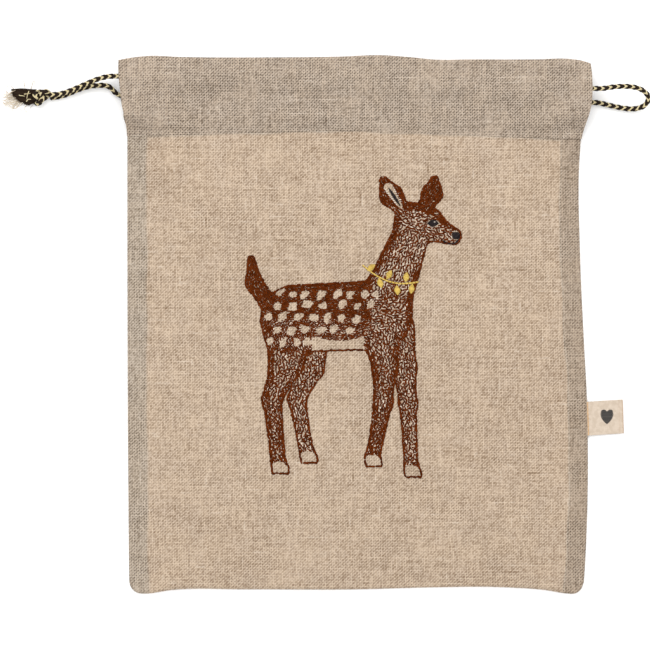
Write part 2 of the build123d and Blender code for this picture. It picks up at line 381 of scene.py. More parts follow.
def grid_faces(rows, columns, first=0, flip=False, wrap=False):
    """Quads between neighbouring rows and columns of a grid of points."""
    faces = []
    for r in range(rows - 1):
        for c in range(columns if wrap else columns - 1):
            d = (c + 1) % columns
            a, b = first + r * columns + c, first + r * columns + d
            e, f = a + columns, b + columns
            faces.append((a, e, f, b) if flip else (a, b, f, e))
    return faces


def closed_sheet(name, x, y, upper, lower, material, tones=None):
    """A thin closed sheet from two grids of heights over the same places."""
    rows, columns = x.shape
    top = np.stack([x, y, upper], -1).reshape(-1, 3)
    under = np.stack([x, y, lower], -1).reshape(-1, 3)
    count = rows * columns
    faces = grid_faces(rows, columns) + grid_faces(rows, columns, count, flip=True)
    rim = list(range(columns))
    rim += [r * columns + columns - 1 for r in range(1, rows)]
    rim += [(rows - 1) * columns + c for c in range(columns - 2, -1, -1)]
    rim += [r * columns for r in range(rows - 2, 0, -1)]
    for a, b in zip(rim, rim[1:] + rim[:1]):
        faces.append((b, a, a + count, b + count))
    if tones is not None:
        tones = np.concatenate([tones.reshape(-1)] * 2)
    return new_object(name, np.concatenate([top, under]), faces, material, tones=tones)


def crowded(count, crowd=0.7):
    """Steps from 0 to 1 that lie closer together at both ends."""
    t = np.linspace(0, 1, count)
    return t - crowd * np.sin(2 * math.pi * t) / (2 * math.pi)


def body_grid(columns, rows, inset=0.0, tuck=0.0):
    """Places over the body, from its left edge to its right and from its bottom up under the casing."""
    u, v = np.meshgrid(crowded(columns), crowded(rows))
    y = LOW_Y + v * (CASING_Y - LOW_Y)
    for _ in range(3):
        left, right = body_left(y) + inset, body_right(y) - inset
        x = left + u * (right - left)
        low, high = body_low_edge(x) + inset, band_low(x) + tuck
        y = low + v * (high - low)
    return x, y


# ---- Materials ----
class Surface:
    """A Principled material and short ways to add nodes to it."""

    def __init__(self, name, roughness, sheen=0.0, specular=0.3):
        self.material = bpy.data.materials.new(name)
        self.material.use_nodes = True
        self.tree = self.material.node_tree
        self.shader = self.tree.nodes["Principled BSDF"]
        for key, value in (("Roughness", roughness), ("Sheen Weight", sheen), ("Sheen Roughness", 0.5),
                           ("Specular IOR Level", specular)):
            self.shader.inputs[key].default_value = value

    def node(self, kind, inputs=None, **settings):
        made = self.tree.nodes.new("ShaderNode" + kind)
        for key, value in settings.items():
            setattr(made, key, value)
        for key, value in (inputs or {}).items():
            self.put(made.inputs[key], value)
        return made

    def put(self, socket, value):
        if isinstance(value, bpy.types.NodeSocket):
            self.tree.links.new(value, socket)
        elif isinstance(value, tuple) and len(value) == 3 and socket.type == "RGBA":
            socket.default_value = (*value, 1)
        else:
            socket.default_value = value

    def math(self, operation, *values):
        return self.node("Math", dict(enumerate(values)), operation=operation).outputs[0]

    def times(self, first, second):
        return self.math("MULTIPLY", first, second)

    def less(self, first, second):
        return self.math("SUBTRACT", first, second)

    def scaled(self, value, weight, base):
        return self.math("MULTIPLY_ADD", value, weight, base)

    def odd(self, whole):
        """1 for an odd whole number and 0 for an even one."""
        return self.times(self.math("FRACT", self.times(whole, 0.5)), 2.0)

    def place(self):
        return self.node("TexCoord").outputs["Object"]

    def joined(self, x, y, z=0.0):
        return self.node("CombineXYZ", {0: x, 1: y, 2: z}).outputs[0]

    def noise(self, vector, scale, detail=2.0, roughness=0.5):
        inputs = {"Vector": vector, "Scale": scale, "Detail": detail, "Roughness": roughness}
        return self.node("TexNoise", inputs).outputs["Fac"]

    def mix(self, share, first, second, blend="MIX"):
        made = self.node("Mix", data_type="RGBA", blend_type=blend)
        for index, value in ((0, share), (6, first), (7, second)):
            self.put(made.inputs[index], value)
        return made.outputs[2]

    def mix_value(self, share, first, second):
        made = self.node("Mix", data_type="FLOAT")
        for index, value in ((0, share), (2, first), (3, second)):
            self.put(made.inputs[index], value)
        return made.outputs[0]

    def spread(self, value, low, high, out_low=0.0, out_high=1.0):
        names = ("Value", "From Min", "From Max", "To Min", "To Max")
        inputs = dict(zip(names, (value, low, high, out_low, out_high)))
        return self.node("MapRange", inputs, interpolation_type="SMOOTHSTEP").outputs["Result"]

    def crown(self, across, along, slant):
        """Height of a yarn where it passes over: highest in the middle, with a ridge that leans."""
        leaning = self.less(across, self.times(along, slant))
        side = self.scaled(self.times(leaning, leaning), -4.0, 1.0)
        return self.math("MAXIMUM", self.scaled(self.times(along, along), -2.0, side), 0.0)

    def tone(self):
        return self.node("Attribute", attribute_name="tone").outputs["Fac"]

    def finish(self, colour, height=None, strength=0.5, distance=0.0002):
        self.put(self.shader.inputs["Base Color"], colour)
        if height is not None:
            bump = self.node("Bump", {"Height": height, "Strength": strength, "Distance": distance})
            self.put(self.shader.inputs["Normal"], bump.outputs[0])
        return self.material


def weave(s, pitch, slant=0.5, wander=0.0012):
    """Plain weave of slightly twisted yarns, as values that the cloth materials share."""
    place = s.place()
    drift = s.node("TexNoise", {"Vector": place, "Scale": 42.0, "Detail": 1.0}).outputs["Color"]
    drift = s.node("VectorMath", {0: drift, 1: (0.5, 0.5, 0.5)}, operation="SUBTRACT").outputs[0]
    drift = s.node("VectorMath", {0: drift, "Scale": wander}, operation="SCALE").outputs[0]
    moved = s.node("VectorMath", {0: place, 1: drift}, operation="ADD").outputs[0]
    split = s.node("SeparateXYZ", {0: moved})
    u, v = (s.math("DIVIDE", split.outputs[k], pitch[k]) for k in (0, 1))
    warp_id, weft_id = s.math("FLOOR", u), s.math("FLOOR", v)
    off_u, off_v = (s.less(s.math("FRACT", value), 0.5) for value in (u, v))
    over = s.odd(s.math("ADD", warp_id, weft_id))
    paired = s.odd(s.math("ADD", s.math("ROUND", u), s.math("ROUND", v)))
    gap = s.times(s.math("ABSOLUTE", off_u), s.math("ABSOLUTE", off_v))
    warp_slub = s.noise(s.joined(s.times(warp_id, 7.13), s.times(v, 0.06)), 1.0)
    weft_slub = s.noise(s.joined(s.times(u, 0.045), s.times(weft_id, 5.71), 3.7), 1.0)
    thin = [s.spread(slub, 0.29, 0.37, 1.0, 0.0) for slub in (warp_slub, weft_slub)]
    return {
        "u": u,
        "v": v,
        "over": over,
        "crown": s.mix_value(over, s.crown(off_u, off_v, slant), s.crown(off_v, off_u, slant)),
        "gap": s.times(s.spread(gap, 0.034, 0.130), s.scaled(paired, 0.80, 0.20)),
        "lean": s.math("PINGPONG", s.less(u, v), 1.0),
        "slub": s.mix_value(over, warp_slub, weft_slub),
        "both": s.math("ADD", warp_slub, weft_slub),
        "fleck": s.math("MAXIMUM", s.spread(warp_slub, 0.69, 0.76), s.spread(weft_slub, 0.70, 0.77)),
        "pale": s.math("MAXIMUM", *thin),
    }


def linen(name, tones, edge=None, pitch=(0.00097, 0.00093)):
    """Unbleached linen from (light, grey, dark, gap colour, gap depth), the gap colour being painted shade in the
    weave's holes; edge has them for the strips.
    """
    s = Surface(name, roughness=0.92, specular=0.12)
    w = weave(s, pitch)
    light, grey, dark, gap_shade_colour, gap_depth = tones
    if edge:
        strip = s.tone()
        light, grey, dark, gap_shade_colour = (s.mix(strip, a, b) for a, b in zip(tones[:4], edge))
        gap_depth = s.mix_value(strip, gap_depth, edge[4])
    cell = s.joined(s.math("FLOOR", w["u"]), s.math("FLOOR", w["v"]))
    speck = s.node("TexWhiteNoise", {"Vector": cell}, noise_dimensions="2D").outputs[0]
    patch = s.noise(s.place(), 130.0, 3.0, 0.6)
    shade = -0.09
    # Darkening towards the dark tone: random yarn, speck and patch tones, with painted shade at the sides of the yarns
    # (crown) and the yarn tops left light as a painted highlight; the lean term darkens diagonal lines through the
    # paired holes.
    for value, middle, weight in (
        (w["crown"], 1.0, -0.64),
        (w["over"], 0.0, 0.14),
        (s.spread(w["lean"], 0.25, 0.85), 0.0, 0.22),
        (w["both"], 1.0, 0.80),
        (speck, 0.5, 0.66),
        (patch, 0.5, 0.34),
        (s.noise(s.place(), 16.0), 0.5, 0.22),
        (w["fleck"], 0.0, 0.22),
    ):
        shade = s.scaled(s.less(value, middle), weight, shade)
    blend = s.scaled(w["slub"], 0.6, s.times(s.noise(s.place(), 75.0), 0.4))
    colour = s.mix(s.times(shade, 0.9), s.mix(s.spread(blend, 0.42, 0.58), light, grey), dark)
    pale = s.times(w["pale"], s.spread(patch, 0.45, 0.62, 0.0, 0.24))
    colour = s.mix(pale, colour, PALE_YARN)
    # Painted shade in the holes of the weave, deeper where the weave is more open.
    depth = s.times(s.times(w["gap"], gap_depth), open_patches(s, w))
    colour = s.mix(depth, colour, gap_shade_colour)
    if edge:
        # Painted shade: where the strip value is above 1 (the right strip) the colour is multiplied darker.
        right_painted_shade = s.mix(1.0, colour, RIGHT_SEAM_PAINTED_SHADE, "MULTIPLY")
        colour = s.mix(s.spread(strip, 1.0, 1.5), colour, right_painted_shade)
    return s.finish(colour, s.scaled(w["slub"], 0.6, w["crown"]), distance=0.00022)


def open_patches(s, w):
    """How open the weave is from place to place: in runs of warps and in patches."""
    columns = s.noise(s.joined(s.math("ROUND", w["u"]), s.times(w["v"], 0.07)), 0.83)
    patchy = s.scaled(s.math("ADD", columns, s.noise(s.place(), 60.0)), 2.8, -1.9)
    return s.math("MINIMUM", s.math("MAXIMUM", patchy, 0.10), 1.8)


def thread(name, light, dark, roughness=0.65, sheen=0.1, specular=0.3):
    """Sewing or embroidery thread with a fine twist and a shade that differs from stitch to stitch."""
    s = Surface(name, roughness, sheen, specular)
    twist = s.noise(s.place(), 2200.0, 2.0, 0.6)
    share = s.scaled(s.tone(), 0.75, s.times(twist, 0.35))
    return s.finish(s.mix(share, dark, light), twist, strength=0.35, distance=0.0001)


def floor_material():
    s = Surface("floor_paper", roughness=0.85, specular=0.1)
    grain = s.noise(s.place(), 900.0, 2.0)
    return s.finish(s.mix(grain, (0.93, 0.93, 0.93), (0.96, 0.96, 0.96)), grain, 0.05)


PALE_YARN = (0.610, 0.540, 0.460)
# Painted shade: the right turned-in strip is multiplied by this so it lies darker than the left.
RIGHT_SEAM_PAINTED_SHADE = (0.90, 0.86, 0.83)
# Each tone set: light, grey, dark, gap colour and gap depth; the gap colour is painted shade in the weave's holes.
FRONT_TONES = (
    (0.512, 0.402, 0.298), (0.494, 0.394, 0.302), (0.205, 0.136, 0.084), (0.090, 0.054, 0.031), 0.56,
)
STRIP_TONES = (
    (0.448, 0.370, 0.290), (0.442, 0.372, 0.300), (0.160, 0.119, 0.082), (0.030, 0.020, 0.013), 0.78,
)
BAND_TONES = (
    (0.440, 0.354, 0.274), (0.434, 0.358, 0.288), (0.150, 0.110, 0.077), (0.016, 0.010, 0.0065), 1.00,
)
COTTON_TONES = (
    (0.542, 0.455, 0.350), (0.525, 0.455, 0.367), (0.385, 0.306, 0.219), (0.175, 0.131, 0.0875), 0.3,
)
linen_body = linen("linen_body", FRONT_TONES, edge=STRIP_TONES)
linen_band = linen("linen_band", BAND_TONES)
cotton = linen("cotton_lining", COTTON_TONES, pitch=(0.0005, 0.0005))
beige_thread = thread("beige_thread", (0.490, 0.403, 0.315), (0.350, 0.271, 0.201))
amber_thread = thread("amber_thread", (0.647, 0.411, 0.201), (0.481, 0.271, 0.105))
brown_thread = thread("brown_thread", (0.124, 0.026, 0.0046), (0.034, 0.0064, 0.0014), 0.9, 0.0, 0.0)
dark_thread = thread("dark_thread", (0.028, 0.021, 0.021), (0.0088, 0.007, 0.0079), 0.8, 0.0, 0.05)
white_thread = thread("white_thread", (0.752, 0.682, 0.595), (0.578, 0.499, 0.411), 0.8, 0.0, 0.05)
cream_thread = thread("cream_thread", (0.740, 0.640, 0.530), (0.330, 0.190, 0.110), 0.8, 0.0, 0.0)
gold_thread = thread("gold_thread", (0.647, 0.464, 0.105), (0.438, 0.289, 0.0438), roughness=0.45)
charcoal_thread = thread("charcoal_thread", (0.0613, 0.0542, 0.0473), (0.0262, 0.0236, 0.021))
black_yarn = thread("black_yarn", (0.0184, 0.0114, 0.0079), (0.0053, 0.0031, 0.0022), 0.7, 0.0, 0.08)
brush_yarn = thread("brush_yarn", (0.048, 0.029, 0.018), (0.005, 0.0033, 0.0022), 0.8, 0.0, 0.05)
pale_yarn = thread("pale_yarn", (0.612, 0.525, 0.315), (0.438, 0.359, 0.193), 0.7, 0.0, 0.1)
core_yarn = thread("core_yarn", (0.735, 0.665, 0.560), (0.542, 0.455, 0.350), roughness=0.8)
wisp_yarn = thread("wisp_yarn", (0.760, 0.670, 0.530), (0.300, 0.220, 0.140), 0.8, 0.0, 0.1)


def label_cloth():
    """Cream ribbon: fine weft ribs, and painted shade in the weave's holes, along a faint pressed line and at the fold
    at the free end.
    """
    s = Surface("label_satin", roughness=0.6, specular=0.2)
    w = weave(s, (0.00032, 0.00021), 0.0, 0.0002)
    mottle = s.spread(s.noise(s.place(), 420.0), 0.42, 0.60, 0.0, 0.75)
    colour = s.mix(s.spread(w["slub"], 0.3, 0.7), (0.540, 0.452, 0.365), (0.480, 0.396, 0.314))
    for share, tone in (
        (mottle, (0.440, 0.358, 0.278)),
        # Painted shade in the holes of the ribbon's weave.
        (s.times(w["gap"], 0.3), (0.394, 0.315, 0.236)),
        # Painted shade at the fold and along the pressed line, carried by the tone attribute.
        (s.tone(), (0.367, 0.236, 0.149)),
    ):
        colour = s.mix(share, colour, tone)
    return s.finish(colour, w["crown"], 0.25, 0.0001)


label_satin = label_cloth()


# ---- Cloth panels ----
def cloth_panels():
    x, y = body_grid(190, 200, tuck=1.3)
    top, low = front_z(x, y), back_z(x, y)
    strip = strip_share(x, y)
    upper, lower = np.maximum(top, SEAM_Z + 0.06), np.maximum(top - LINEN, SEAM_Z)
    front = closed_sheet("front_panel_cloth", x, y, upper, lower, linen_body, strip)
    upper = np.minimum(low + LINEN, SEAM_Z)
    back = closed_sheet("back_panel_cloth", x, y, upper, low, linen_body, strip)
    x, y = body_grid(70, 70, inset=1.6)
    under = front_z(x, y) - LINEN - 0.15
    front_lining = closed_sheet("front_lining_cloth", x, y, under, under - 0.3, cotton)
    back_lining = closed_sheet("back_lining_cloth", x, y, 0 * x + 0.95, 0 * x + 0.65, cotton)
    for obj, node, slot, rests in (
        (front, "front_panel", "linen_body", ["back_panel"]),
        (back, "back_panel", "linen_body", []),
        (front_lining, "front_lining", "cotton_lining", ["back_lining"]),
        (back_lining, "back_lining", "cotton_lining", ["back_panel"]),
    ):
        settle(obj, "pouch", slot, node)
        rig.sheet(obj, flat=(BODY_WIDTH * MM, BODY_LENGTH * MM), held="laid", rests_on=rests)


def strip_share(x, y):
    """1 on the left turned-in edge, 1.5 on the right one, 0.9 under the casing's edge and 0 between; the 1.5 picks out
    the right strip for a painted shade.
    """
    inside = np.minimum(x - body_left(y), body_right(y) - x)
    uneven = 0.5 * ripple(x, y, 21, 40)
    strip = smooth((SEAM_WIDTH + uneven - inside) / 1.8 + 0.5)
    # 1.5 marks the right strip, which the linen material darkens with a painted shade.
    strip = np.where(x > 0, 1.5 * strip, strip)
    return np.maximum(strip, 0.9 * smooth((y - band_low(x) + 1.8 + uneven) / 2.0))


def seam_allowances():
    """The turned-in edges inside the bag, one strip along each side and one along the bottom."""
    rows, columns, inset = 60, 5, 1.7
    depth = inset + np.linspace(0, 1, columns) * (SEAM_WIDTH - inset)
    y = np.repeat(np.linspace(LOW_Y + inset, CASING_Y - 0.5, rows)[:, None], columns, 1)
    flat_strip("left_seam_allowance", body_left(y) + depth, y, BODY_LENGTH)
    flat_strip("right_seam_allowance", (body_right(y) - depth)[:, ::-1], y, BODY_LENGTH)
    x = np.repeat(np.linspace(-BOTTOM_STRIP / 2, BOTTOM_STRIP / 2, rows)[None, :], columns, 0)
    flat_strip("bottom_seam_allowance", x, body_low_edge(x) + depth[:, None], BOTTOM_STRIP)


def flat_strip(node, x, y, length):
    low = 1.05 + 0 * x
    obj = closed_sheet(node + "_cloth", x, y, low + 0.6, low, linen_band)
    settle(obj, "pouch", "linen_band", node)
    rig.sheet(obj, flat=(SEAM_WIDTH * MM, length * MM), held="folded", rests_on=["back_lining"])


# ---- Casings ----
def front_base(x, y):
    """Underside of the front casing, drawn down to the seams at its lower corners."""
    pull = 1 - smooth((y - CASING_Y) / 12)
    return FRONT_Z + PUFF * (1 - pull * np.abs(x / CASING_HALF) ** 6)


def back_base(x, y):
    return 0.02 + 0 * x


def casing_depth(x, y, cord_y):
    """Thickness of a casing: stitched thin below, full over the cord, gaping at its two ends."""
    rise = smooth((y - CASING_Y) / 12)
    fall = smooth((y - (TOP_Y - 7)) / 7)
    full = SHEET + (CASING_DEEP - SHEET) * rise - (CASING_DEEP - 1.8) * fall
    ridge = np.exp(-(((y - cord_y(x)) / 6.5) ** 4))
    lean = 2.3 + (CASING_DEEP - 2.3) * ridge
    gape = smooth((np.abs(x) - (CASING_HALF - 24)) / 16)
    return np.minimum(full, lean * (1 - gape) + full * gape)


def casing(name, base, cord_y, left, right, seed):
    """A flattened linen tube with open ends and a rounded fold along its top."""
    outer, inner = (casing_layer(base, cord_y, left, right, seed, inset) for inset in (0.0, LINEN))
    stations, ring = outer.shape[:2]
    first_inner = stations * ring
    faces = grid_faces(stations, ring, wrap=True, flip=True)
    faces += grid_faces(stations, ring, first_inner, wrap=True)
    for end, flip in ((0, True), (stations - 1, False)):
        for c in range(ring):
            a, b = end * ring + c, end * ring + (c + 1) % ring
            e, f = a + first_inner, b + first_inner
            faces.append((a, b, f, e) if flip else (a, e, f, b))
    points = np.concatenate([outer.reshape(-1, 3), inner.reshape(-1, 3)])
    obj = settle(new_object(name + "_cloth", points, faces, linen_band), "pouch", "linen_band", name)
    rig.sheet(obj, flat=(2 * CASING_HALF * MM, CASING_FLAT * MM), held="folded")


def casing_layer(base, cord_y, left, right, seed, inset):
    """Rings of points round the casing, from its left end to its right; inset 0 is the outside."""
    stations, around = 220, 40
    w = (1 - np.cos(np.linspace(0, math.pi, around)))[None, :] / 2
    s = crowded(stations, 0.8)[:, None]
    y = CASING_Y + w * (TOP_Y - CASING_Y)
    for _ in range(3):
        x = left(y) + s * (right(y) - left(y))
        low, high = band_low(x) + inset * 1.6, band_top(x) - inset
        y = low + w * (high - low)
    depth = casing_depth(x, y, cord_y)
    middle = base(x, y) + depth / 2
    reach = (1 - w) * (high - low)
    half = np.clip(depth / 2 - inset, 0.07, None)
    half = half * np.sqrt(1 - (1 - np.clip(reach / 1.1, 0, 1)) ** 2)
    lift = 0 * x
    if base is front_base:
        lift = 0.18 * ripple(x, y, seed, 60) * smooth((y - CASING_Y) / 12)
        lift = lift + cloth_drift(x, y) + casing_pucker(x, y)
    upper = np.stack([x, y, middle + half + lift], -1)
    lower = np.stack([x, y, middle - half + 0.3 * lift], -1)
    return np.concatenate([upper, lower[:, -2:0:-1]], 1)


def front_casing_top(x, y):
    """Top of the front casing, for the stitches that lie on it."""
    return front_base(x, y) + casing_depth(x, y, front_cord_y) + cloth_drift(x, y) + casing_pucker(x, y)


def back_casing_top(x, y):
    return back_base(x, y) + casing_depth(x, y, back_cord_y)


# ---- Drawstring route (millimetres here, metres in the spline) ----
CORD_ROUTE = [
    (-171.4, 128.5, 5.0),
    (-166.3, 128.5, 5.1),
    (-160.3, 130.5, 6.1),
    (-153.0, 133.3, 8.7),
    (-144.2, 137.0, 11.2),
    (-134.0, 139.2, 11.25),
    (134.5, 130.7, 11.25),
    (143.5, 132.5, 11.2),
    (152.3, 132.9, 9.9),
    (159.6, 131.6, 8.2),
    (164.3, 127.5, 6.4),
    (162.6, 122.4, 4.7),
    (156.3, 120.3, 3.4),
    (148.3, 121.3, 2.45),
    (140.5, 123.2, 2.25),
    (133.0, 125.0, 2.25),
    (-124.5, 127.6, 2.25),
    (-133.8, 128.0, 2.25),
    (-138.4, 134.0, 2.25),
    (-145.5, 134.0, 2.15),
    (-151.0, 133.3, 1.65),
    (-157.5, 131.0, 1.6),
    (-165.0, 127.6, 2.0),
    (-171.4, 126.9, 2.1),
]


def front_cord_y(x):
    return 135.0 - 0.0316 * x


def back_cord_y(x):
    return 126.8 - 0.0137 * x


def spline_points(points):
    """Points along a NURBS spline that has these control points, in millimetres."""
    curve = bpy.data.curves.new("route", "CURVE")
    curve.dimensions = "3D"
    curve.resolution_u = 24
    spline = curve.splines.new("NURBS")
    spline.points.add(len(points) - 1)
    for target, point in zip(spline.points, points):
        target.co = (*(c * MM for c in point), 1)
    spline.order_u = 3
    spline.use_endpoint_u = True
    holder = bpy.data.objects.new("route", curve)
    bpy.context.scene.collection.objects.link(holder)
    bpy.context.view_layer.update()
    mesh = bpy.data.meshes.new_from_object(holder)
    found = np.array([v.co for v in mesh.vertices]) / MM
    bpy.data.objects.remove(holder)
    bpy.data.meshes.remove(mesh)
    return found


def distance_along(points):
    gaps = np.linalg.norm(np.diff(points, axis=0), axis=1)
    return np.concatenate([[0], np.cumsum(gaps)])


def resample(points, step):
    """Evenly spaced points along a line, and their distance along it."""
    along = distance_along(points)
    count = max(2, int(round(along[-1] / step)) + 1)
    at = np.linspace(0, along[-1], count)
    return np.stack([np.interp(at, along, points[:, k]) for k in range(3)], -1), at


def unit(vectors):
    return vectors / np.linalg.norm(vectors, axis=1)[:, None]


def frames(points, upright=True):
    """Side and up vectors along a line; up stays near +Z, or carries over from point to point."""
    tangent = unit(np.gradient(points, axis=0))
    up = np.zeros_like(points)
    last = np.array([0.0, 0.0, 1.0])
    for i, t in enumerate(tangent):
        last = last - (last @ t) * t
        last = last / np.linalg.norm(last)
        up[i] = last
        if upright:
            last = np.array([0.0, 0.0, 1.0])
    return np.cross(tangent, up), up


def tube_faces(rings, around, first):
    faces = grid_faces(rings, around, first, wrap=True)
    faces.append(tuple(first + k for k in range(around - 1, -1, -1)))
    last = first + (rings - 1) * around
    faces.append(tuple(last + k for k in range(around)))
    return faces


class Tubes:
    """Closed tubes gathered into one mesh, each with its own tone and material."""

    def __init__(self):
        self.points, self.faces, self.tones, self.slots = [], [], [], []

    def add(self, line, across, up, wide, deep, around, tone, slot=0):
        turn = 2 * math.pi * np.arange(around)[:, None] / around
        rings = line[:, None] + np.cos(turn) * wide * across[:, None] + np.sin(turn) * deep * up[:, None]
        made = tube_faces(len(line), around, len(self.tones))
        self.points.append(rings.reshape(-1, 3))
        self.faces += made
        self.slots += [slot] * len(made)
        self.tones += [tone] * (len(line) * around)

    def mesh(self, name, materials):
        obj = new_object(name, np.concatenate(self.points), self.faces, materials, tones=self.tones)
        obj.data.polygons.foreach_set("material_index", self.slots)
        return obj


BRAID_PITCH = 8.6
STRANDS = 4  # each way round
LOOP_APEX = 352.0  # how far along the cord the loop turns back
DARK_STRAND = (0.84, 0.38)  # half width and half thickness
PALE_STRAND = (0.46, 0.30)


def braid(name, points, along, upright=True, radius=1.0):
    """Round braid over a core: four strands each way, two over and two under, dark and pale in turn."""
    side, up = frames(points, upright)
    flip = math.pi / 2 * smooth((along - LOOP_APEX + 12) / 24)
    rng = random.Random(17)
    tubes = Tubes()
    for way in (1, -1):
        for strand in range(STRANDS):
            dark = strand % 2 == 0
            wide, deep = DARK_STRAND if dark else PALE_STRAND
            angle = 2 * math.pi * (strand / STRANDS + way * along / BRAID_PITCH) + math.pi / 2
            lift = radius + way * 0.13 * np.sin(2 * angle) + (0.05 if dark else 0.0)
            angle = (angle + flip)[:, None]
            out = np.cos(angle) * side + np.sin(angle) * up
            round_way = np.cos(angle) * up - np.sin(angle) * side
            centre = points + lift[:, None] * out
            run = unit(np.gradient(centre, axis=0))
            cross = unit(round_way - (round_way * run).sum(1)[:, None] * run)
            tubes.add(centre, cross, out, wide, deep, 8, rng.uniform(0.25, 0.8), 0 if dark else 1)
    core = 0.72 * radius
    tubes.add(points, side, up, core, core, 10, 0.4, 2)
    return settle(tubes.mesh(name, [black_yarn, pale_yarn, core_yarn]), "drawstring", "braided_cord")


def drawstring():
    """The whole cord along one route, cut into its stretches where it leaves the casings."""
    line, along = resample(spline_points(CORD_ROUTE), 0.35)
    inside = np.abs(line[:, 0]) <= CASING_HALF
    cuts = [0] + [i for i in range(1, len(line)) if inside[i] != inside[i - 1]] + [len(line)]
    names = ("front_tail", "front_run", "loop", "back_run", "back_tail")
    made = {}
    for name, start, end in zip(names, cuts, cuts[1:]):
        last = min(end + 1, len(line))
        pick = list(range(start, last, 3 if "run" in name else 1))
        if pick[-1] != last - 1:
            pick.append(last - 1)
        node = "drawstring_" + name
        made[name] = (braid(node + "_braid", line[pick], along[pick]), line[start:last])
        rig.replaces(made[name][0], node)
    front, path = made["front_tail"]
    declare_cord(front, path[::-1], "knot", [knot()] + frayed_ends())
    declare_cord(*made["back_tail"], "knot", [])
    declare_cord(*made["loop"], "object", [])


def declare_cord(obj, path, far_end, pieces):
    length = float(distance_along(path)[-1]) * MM
    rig.cord(obj, exit=tuple(path[0] * MM), length=round(length, 4), diameter=CORD * MM, far_end=far_end,
            stiffness="limp", lay="loose", path=[tuple(p * MM) for p in path], with_pieces=pieces)


def knot():
    """An overhand knot pulled tight, its turns crowded into a small ball."""
    low, high = (np.array(c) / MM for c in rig.box("drawstring_knot"))
    middle, half = (low + high) / 2, (high - low) / 2 - CORD / 2
    t = np.linspace(0, 2 * math.pi, 240)[:-1]
    x = (np.sin(t) + 2 * np.sin(2 * t)) / 2.75
    y = (np.cos(t) - 2 * np.cos(2 * t)) / 2.75
    z = -np.sin(3 * t)
    x = (x + 0.45 * y) / 1.2
    line = middle + np.stack([x, y, z], -1) * half * (1.05, 1.05, 0.8)
    line = np.concatenate([line, line[:1]])
    obj = braid("drawstring_knot_braid", line, distance_along(line), upright=False, radius=1.05)
    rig.replaces(obj, "drawstring_knot")
    return obj


def fibres(name, roots, tips, width, material, seed, curl):
    """Loose fibres, each a thin bent tube from a root to a tip."""
    rng = np.random.default_rng(seed)
    t = np.linspace(0, 1, 9)[:, None]
    thick = width * np.linspace(1, 0.5, len(t))[:, None, None]
    tubes = Tubes()
    for root, tip in zip(roots, tips):
        bend = rng.normal(0, curl, 3) * [0.6, 1, 0.6]
        wave = rng.normal(0, curl * 0.35, 3)
        line = root + (tip - root) * t + bend * np.sin(math.pi * t) + wave * np.sin(2.6 * math.pi * t)
        line[:, 2] = np.maximum(line[:, 2], width * 1.5)
        side, up = frames(line)
        tubes.add(line, up, side, thick, thick, 5, rng.uniform(0.1, 1.0))
    return tubes.mesh(name, material)


def frayed_ends():
    """The cut braid brushed out past the knot, and the pale core fibres that curl out from under it."""
    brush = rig.box("drawstring_frayed_braid")
    right, middle_y = brush[1].x / MM, (brush[0].y + brush[1].y) / 2 / MM
    rng = np.random.default_rng(5)
    count = 420
    across = rng.uniform(-1, 1, count)
    deep = rng.uniform(-1, 1, count) * np.sqrt(1 - across**2)
    start_x = rng.uniform(right - 1, right + 3, count)
    roots = np.stack([start_x, middle_y + 0.3 + 3.7 * across, 3.3 + 2.2 * deep], -1)
    cut_x = right - 11.2 + 9.5 * ((1 - across) / 2) ** 2.6 + rng.normal(0, 0.3, count)
    tips = np.stack([cut_x, middle_y - 0.2 + 4.6 * across, 2.1 + 1.5 * deep], -1)
    dark = fibres("drawstring_frayed_dark", roots, tips, 0.19, brush_yarn, 11, 0.30)
    roots, tips = stray_ends(PALE_STRANDS, right, middle_y)
    pale = fibres("drawstring_frayed_pale", roots, tips, 0.27, pale_yarn, 12, 0.35)
    roots, tips = core_fibre_ends(right, middle_y, rng)
    core = fibres("drawstring_core_wisps", roots, tips, 0.17, wisp_yarn, 13, 2.0)
    return [
        settle(dark, "drawstring", "braided_cord", "drawstring_frayed_braid"),
        settle(pale, "drawstring", "braided_cord"),
        settle(core, "drawstring", "cord_core", "drawstring_core_fibres"),
    ]


# Root of each single fibre from the brush's right end and middle line, and the way to its tip.
PALE_STRANDS = [
    ((-1.2, 2.9, 6.2), (-1.3, -4.6, -0.3)),
    ((-3.9, 1.2, 6.0), (3.6, 0.4, 0.3)),
    ((-2.6, -2.9, 5.8), (2.4, 1.1, 0.4)),
    ((-6.8, 0.8, 5.2), (3.4, -0.6, 0.4)),
]
STRAY_WISPS = [
    ((-4.2, 3.6, 2.5), (0.6, 3.6, -0.6)),
    ((-4.4, 6.2, 1.6), (-1.4, 3.4, -0.4)),
    ((-1, 3.6, 3.0), (3.2, 4.0, -1.8)),
    ((-3, -4.0, 1.2), (4.2, -2.6, -0.4)),
    ((-2, -4.2, 1.0), (-3.4, -2.4, -0.4)),
    ((-5, -3.6, 1.0), (-6.0, -1.2, -0.2)),
]


def stray_ends(strands, right, middle_y):
    roots = np.array([root for root, step in strands]) + (right, middle_y, 0)
    return roots, roots + [step for root, step in strands]


def core_fibre_ends(right, middle_y, rng):
    """Starts and ends of the pale fibres: most fan out past the brush, a few stray up and down."""
    count = 34
    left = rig.box("drawstring_core_fibres")[0].x / MM
    across = rng.uniform(-1, 1, count)
    root_z = rng.uniform(0.6, 2.0, count)
    roots = np.stack([right - 7 - 3 * across, middle_y - 0.3 + 3.4 * across, root_z], -1)
    tip_x = left + 5.0 * rng.uniform(0, 1, count) ** 1.3
    tips = np.stack([tip_x, middle_y - 0.6 + 4.6 * across, rng.uniform(0.3, 2.6, count)], -1)
    stray_roots, stray_tips = stray_ends(STRAY_WISPS, right, middle_y)
    return np.concatenate([roots, stray_roots]), np.concatenate([tips, stray_tips])


